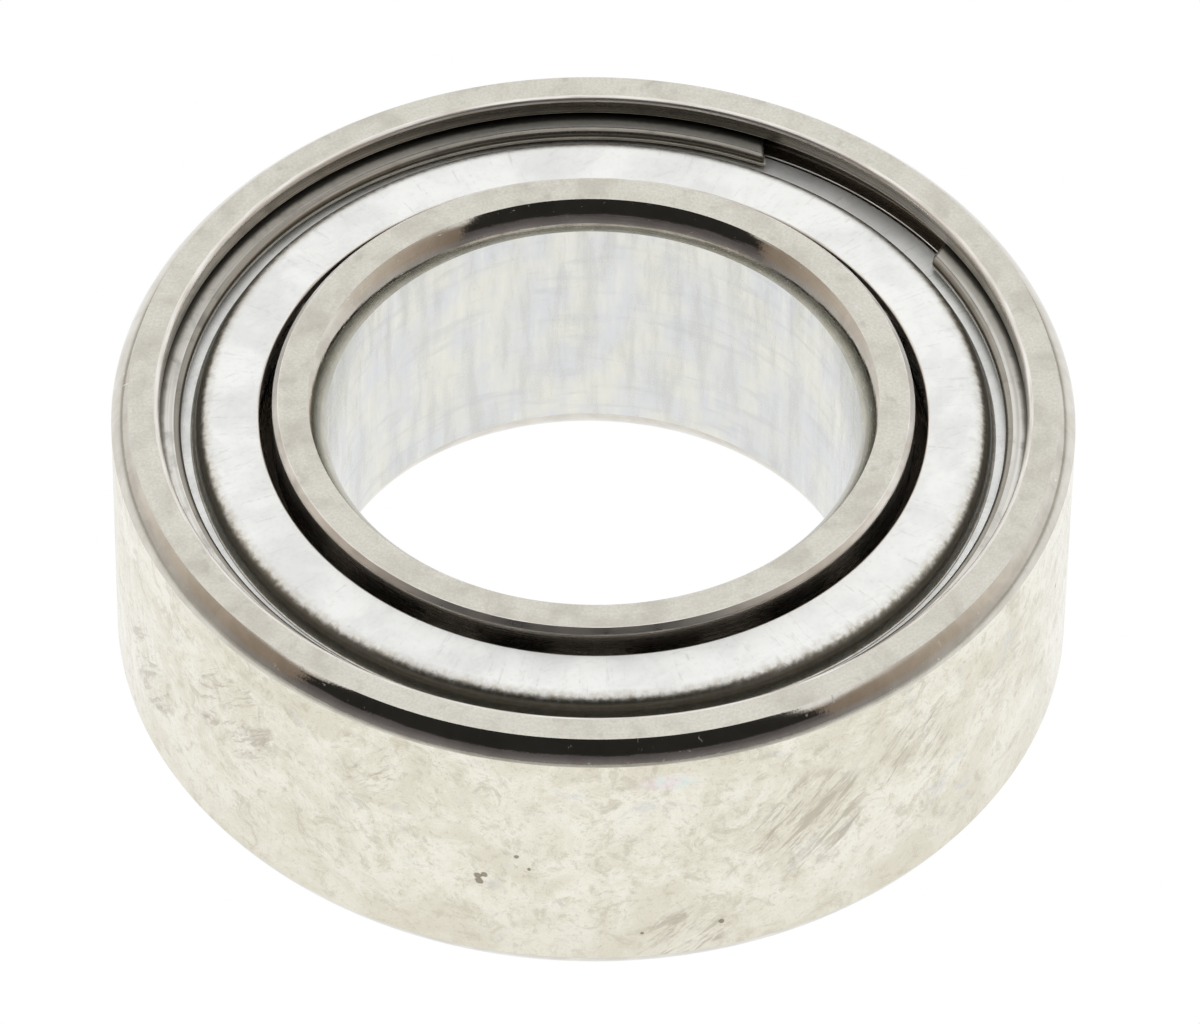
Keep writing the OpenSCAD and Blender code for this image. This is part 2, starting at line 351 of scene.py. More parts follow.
# ---------------------------------------------------------------- balls, cage, rivets
def ball_mesh(name, k, mat):
    a = math.radians(FIRST + (k - 1) * STEP)
    c = Vector((PITCH * math.cos(a), PITCH * math.sin(a), 0))
    nu, nv = 72, 36
    verts, faces = [c + Vector((0, 0, BALL_R))], []
    for i in range(1, nv):
        t = math.pi * i / nv
        for j in range(nu):
            p = 2 * math.pi * j / nu
            verts.append(c + BALL_R * Vector((math.sin(t) * math.cos(p), math.sin(t) * math.sin(p), math.cos(t))))
    verts.append(c - Vector((0, 0, BALL_R)))
    last = len(verts) - 1
    for j in range(nu):
        l = (j + 1) % nu
        faces.append((0, 1 + j, 1 + l))
        faces.append((last, last - nu + l, last - nu + j))
        for i in range(nv - 2):
            b = 1 + i * nu
            faces.append((b + j, b + nu + j, b + nu + l, b + l))
    normals = [tuple(Vector(verts[v]) - c for v in f) for f in faces]
    return finish_mesh(name, verts, faces, normals, ["ball"] * len(faces), {"ball": mat})


def cage_mesh(name, mat, mirror):
    """Half a ribbon cage: flat lands that roll up into an arch over each ball."""
    r_in, r_out, t, pr = 3.27, 3.73, 0.1, 0.54
    per, nr = 56, 6
    n = per * N_BALLS
    def smax(a, b, k):
        h = max(0.0, min(1.0, 0.5 + 0.5 * (a - b) / k))
        return b * (1 - h) + a * h + k * h * (1 - h)
    def heights(a, r):
        d = (a - math.radians(FIRST) + math.radians(STEP) / 2) % math.radians(STEP) - math.radians(STEP) / 2
        x = r * math.sin(d)
        lo = math.sqrt(max(0.0, pr * pr - x * x))
        hi = math.sqrt(max(0.0, (pr + t) ** 2 - x * x))
        return max(lo, 0.0), smax(hi, t, 0.03)
    e = 0.012
    # section round the strip: bottom edge to edge, then top edge to edge, edges eased
    rs_top = [r_in, r_in + e] + [r_in + e + (r_out - r_in - 2 * e) * i / nr for i in range(1, nr)] + [r_out - e, r_out]
    verts, faces = [], []
    for i in range(n):
        a = math.radians(FIRST) + math.radians(STEP) * (i + 0.5) / per
        for idx, r in enumerate(rs_top):
            lo, hi = heights(a, r)
            z = hi - (e if idx in (0, len(rs_top) - 1) else 0)
            verts.append((r * math.cos(a), r * math.sin(a), z))
        for idx, r in enumerate(reversed(rs_top)):
            lo, hi = heights(a, r)
            verts.append((r * math.cos(a), r * math.sin(a), lo))
    m = 2 * len(rs_top)
    for i in range(n):
        k = (i + 1) % n
        for j in range(m):
            l = (j + 1) % m
            faces.append((i * m + j, i * m + l, k * m + l, k * m + j))
    if mirror:
        verts = [(x, y, -z) for x, y, z in verts]
        faces = [tuple(reversed(f)) for f in faces]
    o = finish_mesh(name, verts, faces, None, ["cage"] * len(faces), {"cage": mat})
    me = o.data
    me.set_sharp_from_angle(angle=math.radians(40))
    return o


def rivets_mesh(name, mat):
    h, rr, rs, t = 0.08, 0.18, 0.1, 0.1
    dome = (rr * rr + h * h) / (2 * h)
    am = math.asin(rr / dome)
    half = [(dome * math.sin(am * i / 8), t + h - dome * (1 - math.cos(am * i / 8))) for i in range(1, 9)]
    prof = [(0, t + h)] + half + [(rs, t)]
    prof = prof + [(r, -z) for r, z in reversed(prof)]
    nu = 40
    verts, faces = [], []
    for k in range(1, N_BALLS + 1):
        a = math.radians(FIRST + (k - 0.5) * STEP)
        c = Vector((PITCH * math.cos(a), PITCH * math.sin(a), 0))
        base = len(verts)
        verts.append(c + Vector((0, 0, prof[0][1])))
        for r, z in prof[1:-1]:
            for j in range(nu):
                p = 2 * math.pi * j / nu
                verts.append(c + Vector((r * math.cos(p), r * math.sin(p), z)))
        verts.append(c + Vector((0, 0, prof[-1][1])))
        last = len(verts) - 1
        rows = len(prof) - 2
        for j in range(nu):
            l = (j + 1) % nu
            faces.append((base, base + 1 + j, base + 1 + l))
            faces.append((last, last - nu + l, last - nu + j))
            for i in range(rows - 1):
                b = base + 1 + i * nu
                faces.append((b + j, b + nu + j, b + nu + l, b + l))
    o = finish_mesh(name, verts, faces, None, ["rivet"] * len(faces), {"rivet": mat})
    o.data.set_sharp_from_angle(angle=math.radians(35))
    return o


# ================================================================ materials
# Small dark specks on the outside (degrees from the front, height, size) and a thin oil film.
SPECKS = [(-12.7, -0.37, 0.034), (-12.1, -0.27, 0.026), (-12.9, -0.30, 0.030), (-8.3, 0.03, 0.020), (-6.8, -0.12, 0.015),
          (6.5, -0.97, 0.018), (16.0, -0.95, 0.022), (74.0, 0.35, 0.02), (158.0, -0.55, 0.028), (-121.0, 0.62, 0.022)]
FILM = (9.0, 1.04)
# Where the outside is smeared (degrees from the front, height, reach in mm).
SMEARS = [(27, 0.05, 0.8), (41, 0.45, 0.6), (-47, 0.40, 0.7), (-27, 0.80, 0.45), (-66, -0.3, 0.6), (12, -1.1, 0.5),
          (93, 0.2, 0.9), (133, -0.5, 0.7), (165, 0.5, 0.9), (-104, 0.1, 0.9), (-150, -0.2, 0.8)]


class Tree:
    """Small helpers to wire a node tree. Coordinates are the piece's own, in mm."""

    def __init__(self, name, world=False):
        if world:
            self.id = bpy.data.worlds.new(name)
        else:
            self.id = bpy.data.materials.new(name)
        self.id.use_nodes = True
        self.nt = self.id.node_tree
        self.nt.nodes.clear()
        self._x = 0

    def node(self, kind, **props):
        n = self.nt.nodes.new(kind)
        self._x += 40
        n.location = (self._x, 0)
        for k, v in props.items():
            setattr(n, k, v)
        return n

    def put(self, socket, v):
        if isinstance(v, bpy.types.NodeSocket):
            self.nt.links.new(v, socket)
        elif v is not None:
            socket.default_value = v

    def math(self, op, a, b=None, c=None, clamp=False):
        n = self.node("ShaderNodeMath", operation=op, use_clamp=clamp)
        for s, v in zip(n.inputs, (a, b, c)):
            self.put(s, v)
        return n.outputs[0]

    def vmath(self, op, a, b=None, scale=None):
        n = self.node("ShaderNodeVectorMath", operation=op)
        self.put(n.inputs[0], a)
        if b is not None:
            self.put(n.inputs[1], b)
        if scale is not None:
            self.put(n.inputs["Scale"], scale)
        return n.outputs["Value"] if op in ("LENGTH", "DISTANCE", "DOT_PRODUCT") else n.outputs["Vector"]

    def xyz(self, x=0.0, y=0.0, z=0.0):
        n = self.node("ShaderNodeCombineXYZ")
        for s, v in zip(n.inputs, (x, y, z)):
            self.put(s, v)
        return n.outputs[0]

    def split(self, v):
        n = self.node("ShaderNodeSeparateXYZ")
        self.put(n.inputs[0], v)
        return n.outputs[0], n.outputs[1], n.outputs[2]

    def noise(self, vec, scale=1.0, detail=3.0, rough=0.5, dist=0.0, seed=0.0):
        n = self.node("ShaderNodeTexNoise", noise_dimensions="4D")
        self.put(n.inputs["Vector"], vec)
        n.inputs["W"].default_value = seed
        n.inputs["Scale"].default_value = scale
        n.inputs["Detail"].default_value = detail
        n.inputs["Roughness"].default_value = rough
        n.inputs["Distortion"].default_value = dist
        return n.outputs["Fac"]

    def cells(self, vec, scale=1.0, seed=0.0):
        n = self.node("ShaderNodeTexVoronoi", voronoi_dimensions="4D", feature="F1")
        self.put(n.inputs["Vector"], vec)
        n.inputs["W"].default_value = seed
        n.inputs["Scale"].default_value = scale
        return n.outputs["Distance"], n.outputs["Color"]

    def span(self, v, a, b, to0=0.0, to1=1.0, smooth=True):
        n = self.node("ShaderNodeMapRange", interpolation_type="SMOOTHSTEP" if smooth else "LINEAR", clamp=True)
        self.put(n.inputs[0], v)
        n.inputs[1].default_value = a; n.inputs[2].default_value = b
        n.inputs[3].default_value = to0; n.inputs[4].default_value = to1
        return n.outputs[0]

    def mix(self, fac, a, b, blend="MIX"):
        n = self.node("ShaderNodeMix", data_type="RGBA", blend_type=blend, clamp_factor=True)
        self.put(n.inputs[0], fac)
        for s, v in ((n.inputs[6], a), (n.inputs[7], b)):
            self.put(s, v if isinstance(v, bpy.types.NodeSocket) else (*v, 1.0))
        return n.outputs[2]

    def ramp(self, fac, stops):
        n = self.node("ShaderNodeValToRGB")
        self.put(n.inputs[0], fac)
        cr = n.color_ramp
        while len(cr.elements) < len(stops):
            cr.elements.new(0.5)
        for e, (p, c) in zip(cr.elements, stops):
            e.position = p
            e.color = (*c, 1.0)
        return n.outputs[0]


class Steel(Tree):
    def __init__(self, name):
        super().__init__(name)
        tc = self.node("ShaderNodeTexCoord")
        self.P = self.vmath("SCALE", tc.outputs["Object"], scale=1000.0)
        self.x, self.y, self.z = self.split(self.P)
        self.r = self.vmath("LENGTH", self.xyz(self.x, self.y, 0.0))
        self.ux = self.math("DIVIDE", self.x, self.math("MAXIMUM", self.r, 1e-3))
        self.uy = self.math("DIVIDE", self.y, self.math("MAXIMUM", self.r, 1e-3))

    def around(self, along, across):
        """Streaks that follow the turning direction: `along` cells per mm round the ring, `across` per mm in r and z."""
        k = 3.5 * along
        return self.xyz(self.math("MULTIPLY", self.ux, k), self.math("MULTIPLY", self.uy, k),
                        self.math("MULTIPLY", self.math("ADD", self.r, self.math("MULTIPLY", self.z, 1.37)), across))

    def upright(self, across, along):
        """Streaks that follow the bearing axis."""
        return self.xyz(self.math("MULTIPLY", self.x, across), self.math("MULTIPLY", self.y, across),
                        self.math("MULTIPLY", self.z, along))

    def radial(self, across, along):
        """Streaks that run outward on a face."""
        return self.xyz(self.math("MULTIPLY", self.ux, across * 3.6), self.math("MULTIPLY", self.uy, across * 3.6),
                        self.math("MULTIPLY", self.r, along))

    def slanted(self, rise, across, along):
        """Streaks that climb the outside at a slant: `rise` is degrees of turn per mm of height."""
        n = self.node("ShaderNodeVectorRotate", rotation_type="Z_AXIS")
        self.put(n.inputs["Vector"], self.P)
        self.put(n.inputs["Angle"], self.math("MULTIPLY", self.z, math.radians(rise)))
        x, y, z = self.split(n.outputs[0])
        return self.xyz(self.math("MULTIPLY", x, across), self.math("MULTIPLY", y, across), self.math("MULTIPLY", z, along))

    def done(self, color, rough, height=None, depth_um=0.5, aniso=None):
        b = self.node("ShaderNodeBsdfPrincipled")
        out = self.node("ShaderNodeOutputMaterial")
        self.put(b.inputs["Base Color"], color)
        b.inputs["Metallic"].default_value = 1.0
        self.put(b.inputs["Roughness"], rough)
        if height is not None:
            bp = self.node("ShaderNodeBump")
            bp.inputs["Strength"].default_value = 1.0
            bp.inputs["Distance"].default_value = depth_um * 1e-6
            self.put(bp.inputs["Height"], height)
            self.put(b.inputs["Normal"], bp.outputs[0])
        self.nt.links.new(b.outputs[0], out.inputs[0])
        return self.id


def face_steel():
    """Ground side faces: matt fine grain, faint darker clouds, barely visible grinding arcs."""
    s = Steel("ground_side_face")
    grain = s.noise(s.P, 34.0, 3.0, 0.6, seed=1.0)
    cloud = s.noise(s.P, 2.6, 4.0, 0.55, 0.4, seed=2.0)
    spot = s.noise(s.P, 7.0, 3.0, 0.5, seed=3.0)
    arcs = s.noise(s.around(0.5, 26.0), 1.0, 2.0, 0.5, seed=4.0)
    c = s.mix(s.span(cloud, 0.42, 0.72), (0.83, 0.81, 0.735), (0.715, 0.69, 0.615))
    c = s.mix(s.span(spot, 0.56, 0.76, 0.0, 0.60), c, (0.57, 0.55, 0.50))
    c = s.mix(s.span(spot, 0.26, 0.42, 0.45, 0.0), c, (0.88, 0.86, 0.805))
    c = s.mix(s.span(grain, 0.34, 0.66, 0.34, 0.0), c, (0.46, 0.44, 0.40))
    c = s.mix(s.span(arcs, 0.35, 0.7, 0.12, 0.0), c, (0.54, 0.52, 0.47))
    rough = s.math("ADD", s.span(grain, 0.3, 0.7, 0.50, 0.60), s.span(cloud, 0.4, 0.7, 0.0, 0.05))
    h = s.math("ADD", s.math("MULTIPLY", grain, 1.0), s.math("MULTIPLY", arcs, 0.5))
    return s.done(c, rough, h, 0.9)


def edge_steel():
    """Small edge breaks, bright where handling has burnished them."""
    s = Steel("edge_break")
    g = s.noise(s.around(2.0, 20.0), 1.0, 3.0, 0.6, seed=11.0)
    c = s.mix(s.span(g, 0.35, 0.7), (0.88, 0.86, 0.81), (0.66, 0.61, 0.55))
    return s.done(c, s.span(g, 0.3, 0.7, 0.26, 0.42), g, 0.5)


def wall_steel():
    """The ground outside diameter: bright cream steel, mottled by a crumbly brownish
    film, with slanted smears in places, a patch of thin oil and a few specks."""
    s = Steel("ground_outside_diameter")
    blot = s.noise(s.P, 1.15, 6.0, 0.70, 0.9, seed=23.0)
    crumb = s.noise(s.P, 3.9, 7.0, 0.74, 0.9, seed=21.0)
    fine = s.noise(s.P, 15.0, 5.0, 0.70, 0.4, seed=25.0)
    dust = s.noise(s.P, 38.0, 3.0, 0.6, 0.0, seed=28.0)
    smear = s.noise(s.slanted(-13.0, 4.4, 2.1), 1.0, 6.0, 0.68, 0.9, seed=22.0)
    drag = s.noise(s.slanted(-11.0, 13.0, 5.0), 1.0, 4.0, 0.62, 0.5, seed=26.0)
    blue = s.noise(s.P, 2.2, 5.0, 0.66, 1.0, seed=24.0)
    where = 0.0
    for (deg, z, reach) in SMEARS:
        at = (R_OUT * math.sin(math.radians(deg)), -R_OUT * math.cos(math.radians(deg)), z)
        where = s.math("MAXIMUM", where, s.span(s.vmath("DISTANCE", s.P, at), reach * 0.3, reach * 1.25, 1.0, 0.0))
    where = s.math("ADD", where, s.math("MULTIPLY", s.math("SUBTRACT", blot, 0.5), 1.2))
    c = s.mix(s.span(blot, 0.38, 0.62), (0.865, 0.845, 0.745), (0.745, 0.71, 0.59))
    c = s.mix(s.span(crumb, 0.50, 0.64, 0.0, 0.62), c, (0.57, 0.53, 0.42))
    c = s.mix(s.span(crumb, 0.30, 0.43, 0.55, 0.0), c, (0.93, 0.92, 0.85))
    c = s.mix(s.span(blue, 0.58, 0.70, 0.0, 0.55), c, (0.62, 0.63, 0.635))
    c = s.mix(s.span(fine, 0.53, 0.68, 0.0, 0.42), c, (0.52, 0.485, 0.395))
    c = s.mix(s.span(dust, 0.56, 0.72, 0.0, 0.28), c, (0.46, 0.43, 0.36))
    # painted shade: the outside turns darker and yellower towards the bottom
    c = s.mix(s.span(s.z, -1.30, -0.40, 0.32, 0.0), c, (0.68, 0.64, 0.535))
    few = s.span(where, 0.25, 0.75)
    c = s.mix(s.math("MULTIPLY", s.span(smear, 0.50, 0.62, 0.0, 0.80), few), c, (0.49, 0.445, 0.365))
    c = s.mix(s.math("MULTIPLY", s.span(drag, 0.56, 0.70, 0.0, 0.55), few), c, (0.38, 0.35, 0.33))
    c = s.mix(s.math("MULTIPLY", s.span(drag, 0.28, 0.42, 0.50, 0.0), few), c, (0.93, 0.92, 0.86))
    pit, _ = s.cells(s.P, 2.4, seed=27.0)
    c = s.mix(s.span(pit, 0.035, 0.06, 0.55, 0.0), c, (0.24, 0.21, 0.155))
    for (deg, z, size) in SPECKS:
        at = (R_OUT * math.sin(math.radians(deg)), -R_OUT * math.cos(math.radians(deg)), z)
        off = s.math("ADD", s.vmath("DISTANCE", s.P, at), s.math("MULTIPLY", s.math("SUBTRACT", fine, 0.5), size * 2.2))
        c = s.mix(s.span(off, size, size * 1.5, 0.8, 0.0), c, (0.20, 0.17, 0.12))
    at = (R_OUT * math.sin(math.radians(FILM[0])), -R_OUT * math.cos(math.radians(FILM[0])), FILM[1])
    off = s.vmath("MULTIPLY", s.vmath("SUBTRACT", s.P, at), (1.0, 1.0, 2.6))
    off = s.math("ADD", s.vmath("LENGTH", off), s.math("MULTIPLY", s.math("SUBTRACT", fine, 0.5), 0.5))
    film = s.mix(s.span(crumb, 0.42, 0.58), (0.60, 0.80, 0.80), (0.88, 0.74, 0.80))
    c = s.mix(s.span(off, 0.06, 0.36, 0.55, 0.0), c, film)
    rough = s.math("ADD", s.span(crumb, 0.35, 0.70, 0.14, 0.24), s.span(fine, 0.3, 0.7, 0.0, 0.09))
    h = s.math("ADD", s.math("MULTIPLY", drag, 0.5), s.math("MULTIPLY", fine, 0.6))
    return s.done(c, rough, h, 0.6)


def corner_steel():
    """Tumbled corners: smooth bright steel with fine turned streaks and tiny bright nicks."""
    s = Steel("tumbled_corner")
    streak = s.noise(s.around(1.1, 30.0), 1.0, 3.0, 0.6, 0.3, seed=31.0)
    cloud = s.noise(s.P, 3.0, 4.0, 0.6, 0.5, seed=32.0)
    grit = s.noise(s.P, 40.0, 2.0, 0.5, seed=33.0)
    c = s.mix(s.span(cloud, 0.36, 0.66), (0.71, 0.685, 0.625), (0.60, 0.57, 0.51))
    c = s.mix(s.span(streak, 0.50, 0.75, 0.0, 0.35), c, (0.56, 0.53, 0.47))
    c = s.mix(s.span(grit, 0.60, 0.75, 0.0, 0.3), c, (0.50, 0.47, 0.42))
    wob = s.vmath("ADD", s.P, s.vmath("SCALE", s.xyz(grit, cloud, streak), scale=0.05))
    d, tone = s.cells(wob, 9.0, seed=34.0)
    tr, _, _ = s.split(tone)
    nick = s.math("MULTIPLY", s.span(d, 0.08, 0.17, 1.0, 0.0), s.span(tr, 0.70, 0.74))
    scuff = s.span(s.noise(s.around(9.0, 16.0), 1.0, 3.0, 0.6, 0.8, seed=35.0), 0.64, 0.72, 0.0, 0.6)
    nick = s.math("MAXIMUM", nick, scuff)
    c = s.mix(nick, c, (0.95, 0.94, 0.91))
    rough = s.math("ADD", s.span(streak, 0.3, 0.7, 0.055, 0.10), s.math("MULTIPLY", nick, 0.5))
    h = s.math("ADD", s.math("MULTIPLY", streak, 0.7), s.math("MULTIPLY", grit, 0.5))
    return s.done(c, rough, h, 0.7)


def bore_steel():
    """The honed bore: soft upright and level streaks that cross like a weave."""
    s = Steel("honed_bore")
    up = s.noise(s.upright(6.5, 1.1), 1.0, 4.0, 0.55, 0.15, seed=41.0)
    lvl = s.noise(s.upright(1.6, 7.5), 1.0, 4.0, 0.55, 0.15, seed=42.0)
    tint = s.noise(s.upright(2.4, 1.6), 1.0, 3.0, 0.5, seed=43.0)
    fine = s.noise(s.upright(30.0, 8.0), 1.0, 3.0, 0.6, seed=44.0)
    c = s.mix(s.span(tint, 0.35, 0.65), (0.79, 0.785, 0.72), (0.72, 0.735, 0.745))
    c = s.mix(s.span(up, 0.44, 0.70, 0.0, 0.55), c, (0.62, 0.62, 0.59))
    c = s.mix(s.span(up, 0.28, 0.44, 0.45, 0.0), c, (0.86, 0.85, 0.76))
    c = s.mix(s.span(lvl, 0.48, 0.72, 0.0, 0.45), c, (0.60, 0.61, 0.61))
    c = s.mix(s.span(fine, 0.55, 0.75, 0.0, 0.18), c, (0.58, 0.58, 0.56))
    rough = s.math("ADD", s.span(up, 0.3, 0.7, 0.17, 0.26), s.span(fine, 0.3, 0.7, 0.0, 0.06))
    h = s.math("ADD", s.math("MULTIPLY", up, 0.4), s.math("MULTIPLY", fine, 0.6))
    return s.done(c, rough, h, 0.5)


def turned_steel(name, light, dark, r0, r1, seed):
    """Turned, unground surfaces: lines that follow the tool round the ring."""
    s = Steel(name)
    line = s.noise(s.around(0.35, 42.0), 1.0, 3.0, 0.55, seed=seed)
    patch = s.noise(s.P, 3.4, 4.0, 0.6, 0.4, seed=seed + 1)
    c = s.mix(s.span(line, 0.34, 0.68), light, dark)
    c = s.mix(s.span(patch, 0.52, 0.75, 0.0, 0.5), c, tuple(0.72 * v for v in dark))
    rough = s.math("ADD", s.span(line, 0.3, 0.7, r0, r1), s.span(patch, 0.4, 0.7, 0.0, 0.06))
    return s.done(c, rough, s.math("ADD", line, s.math("MULTIPLY", patch, 0.4)), 0.7)


def shield_steel(name, shoulder):
    """Satin pressed sheet. On the rolled shoulder the stretched metal is coarse, and painted shade darkens it."""
    s = Steel(name)
    grain = s.noise(s.P, 26.0, 3.0, 0.55, seed=61.0)
    coarse = s.noise(s.P, 15.0, 3.0, 0.6, 0.2, seed=62.0)
    cloud = s.noise(s.P, 1.8, 4.0, 0.55, 0.4, seed=63.0)
    rays = s.noise(s.radial(13.0, 2.2), 1.0, 3.0, 0.55, seed=64.0)
    d, _ = s.cells(s.P, 2.3, seed=65.0)
    scratch = s.noise(s.radial(22.0, 1.6), 1.0, 2.0, 0.5, seed=66.0)
    cross = s.noise(s.xyz(s.math("ADD", s.math("MULTIPLY", s.x, 3.0), s.math("MULTIPLY", s.y, 2.0)),
                          s.math("ADD", s.math("MULTIPLY", s.x, -14.0), s.math("MULTIPLY", s.y, 21.0)), 0.0), 1.0, 3.0, 0.6, 0.4, seed=67.0)
    patch = s.span(s.noise(s.P, 1.4, 3.0, 0.5, 0.5, seed=68.0), 0.44, 0.60)
    c = s.mix(s.span(cloud, 0.36, 0.68), (0.975, 0.98, 0.96), (0.85, 0.855, 0.84))
    c = s.mix(s.math("MULTIPLY", s.span(scratch, 0.56, 0.72, 0.0, 0.40), s.span(coarse, 0.42, 0.58)), c, (0.66, 0.655, 0.635))
    c = s.mix(s.math("MULTIPLY", s.span(cross, 0.54, 0.70, 0.0, 0.35), patch), c, (0.70, 0.69, 0.66))
    c = s.mix(s.span(grain, 0.54, 0.74, 0.0, 0.16), c, (0.68, 0.68, 0.665))
    c = s.mix(s.span(d, 0.03, 0.05, 0.5, 0.0), c, (0.32, 0.31, 0.29))
    rough = s.span(grain, 0.3, 0.7, 0.48, 0.58)
    h = s.math("ADD", s.math("MULTIPLY", coarse, 0.5), s.math("MULTIPLY", grain, 0.3))
    if shoulder:
        # the stretched metal is coarse where the sheet starts to bend; below that, painted shade darkens the slope down
        # to the foot of the bend
        ragged = s.math("ADD", s.r, s.math("MULTIPLY", s.math("SUBTRACT", coarse, 0.5), 0.07))
        near = s.span(ragged, 3.54, 3.66)
        c = s.mix(s.math("MULTIPLY", near, s.span(coarse, 0.36, 0.62, 0.25, 0.80)), c, (0.62, 0.575, 0.48))
        c = s.mix(s.math("MULTIPLY", s.span(rays, 0.50, 0.70, 0.0, 0.25), near), c, (0.36, 0.33, 0.27))
        shoulder_shade = s.math("MULTIPLY", s.span(ragged, 3.62, 3.675), s.span(s.r, 3.732, 3.746, 1.0, 0.0))
        c = s.mix(s.math("MULTIPLY", shoulder_shade, 0.85), c, (0.15, 0.14, 0.115))
        # a thin painted shadow line in the crease at the foot of the bend
        c = s.mix(s.span(s.r, 3.751, 3.757, 0.0, 0.80), c, (0.12, 0.11, 0.09))
        rough = s.math("SUBTRACT", rough, s.math("MULTIPLY", near, 0.18))
        h = s.math("ADD", h, s.math("MULTIPLY", s.math("ADD", coarse, s.math("MULTIPLY", rays, 0.3)), s.math("MULTIPLY", s.span(s.r, 3.47, 3.60), 1.5)))
    return s.done(c, rough, h, 0.8)


def wire_steel(name, light, dark, seed, r0=0.2, r1=0.34):
    """Spring strip: drawn lines along it, a dull film, brighter worn places, and painted shade where the outer ring's
    lip hangs over it.
    """
    s = Steel(name)
    line = s.noise(s.around(0.5, 36.0), 1.0, 3.0, 0.6, seed=seed)
    film = s.noise(s.P, 5.0, 4.0, 0.6, 0.4, seed=seed + 1)
    c = s.mix(s.span(line, 0.34, 0.68), light, dark)
    c = s.mix(s.span(film, 0.50, 0.72, 0.0, 0.6), c, tuple(0.7 * v for v in dark))
    rim = s.math("ADD", s.r, s.math("MULTIPLY", s.math("SUBTRACT", film, 0.5), 0.05))
    c = s.mix(s.span(rim, 3.985, 4.04, 0.0, 0.9), c, (0.16, 0.15, 0.125))             # painted shade where the outer ring's lip hangs over the strip
    return s.done(c, s.math("ADD", s.span(line, 0.3, 0.7, r0, r1), s.span(film, 0.4, 0.7, 0.0, 0.06)),
                  s.math("ADD", line, s.math("MULTIPLY", film, 0.5)), 0.7)


def ball_steel():
    s = Steel("lapped_ball")
    a = s.noise(s.P, 6.0, 4.0, 0.55, seed=81.0)
    b = s.noise(s.P, 60.0, 2.0, 0.5, seed=82.0)
    c = s.mix(s.span(a, 0.35, 0.7), (0.86, 0.865, 0.87), (0.79, 0.79, 0.785))
    return s.done(c, s.math("ADD", s.span(a, 0.35, 0.7, 0.05, 0.09), s.span(b, 0.4, 0.7, 0.0, 0.03)), b, 0.06)


def cage_steel():
    s = Steel("pressed_cage_strip")
    a = s.noise(s.around(0.8, 22.0), 1.0, 3.0, 0.55, seed=91.0)
    b = s.noise(s.P, 18.0, 3.0, 0.6, seed=92.0)
    c = s.mix(s.span(a, 0.35, 0.7), (0.72, 0.71, 0.68), (0.58, 0.565, 0.535))
    c = s.mix(s.span(b, 0.52, 0.75, 0.0, 0.4), c, (0.44, 0.42, 0.39))
    return s.done(c, s.math("ADD", s.span(a, 0.3, 0.7, 0.2, 0.32), s.span(b, 0.4, 0.7, 0.0, 0.08)),
                  s.math("ADD", a, s.math("MULTIPLY", b, 0.8)), 0.8)


def rivet_steel():
    s = Steel("rivet_wire")
    a = s.noise(s.P, 14.0, 4.0, 0.6, seed=95.0)
    b = s.noise(s.P, 45.0, 2.0, 0.5, seed=96.0)
    c = s.mix(s.span(a, 0.35, 0.7), (0.66, 0.64, 0.60), (0.50, 0.48, 0.44))
    return s.done(c, s.math("ADD", s.span(a, 0.3, 0.7, 0.22, 0.34), s.span(b, 0.4, 0.7, 0.0, 0.06)), s.math("ADD", a, b), 0.7)


FACE, EDGE, WALL, CORNER, BORE = face_steel(), edge_steel(), wall_steel(), corner_steel(), bore_steel()
# turned steel in the outer ring's recess, its colour painted dark as shade in the recess
RECESS_PAINTED_SHADE = turned_steel("turned_recess_painted_shade", (0.36, 0.33, 0.29), (0.25, 0.23, 0.205), 0.20, 0.32, 51.0)
LANDM = turned_steel("turned_land", (0.72, 0.67, 0.61), (0.58, 0.53, 0.48), 0.20, 0.32, 54.0)
RACE = turned_steel("honed_raceway", (0.80, 0.79, 0.77), (0.74, 0.73, 0.70), 0.07, 0.14, 57.0)
SHEET, SHOULDER = shield_steel("satin_shield", False), shield_steel("shield_shoulder_painted_shade", True)
SNAP_TOP = wire_steel("snap_ring_strip", (0.80, 0.785, 0.735), (0.66, 0.645, 0.595), 71.0, 0.34, 0.46)
# the strip's rounded edges get a darker copy of its colour: painted shade on the edges
SNAP_EDGE_PAINTED_SHADE = wire_steel("snap_ring_edge_painted_shade", (0.37, 0.345, 0.30), (0.26, 0.24, 0.21), 74.0, 0.22, 0.34)
BALL, CAGE, RIVET = ball_steel(), cage_steel(), rivet_steel()

ring_o = {"wall": WALL, "corner": CORNER, "face": FACE, "edge": EDGE, "recess": RECESS_PAINTED_SHADE, "race": RACE}
ring_i = {"bore": BORE, "corner": CORNER, "face": FACE, "edge": EDGE, "land": LANDM, "race": RACE}
sheet = {"sheet": SHEET, "shoulder": SHOULDER, "flange": SHEET, "edge": EDGE, "rim": SHEET, "under": SHEET}
snap = {"top": SNAP_TOP, "side": SNAP_TOP, "under": SNAP_TOP, "edge": SNAP_EDGE_PAINTED_SHADE, "cut": SNAP_TOP}

# ================================================================ the pieces
def add(o, body, node):
    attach(o, body)
    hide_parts(node)
    return o

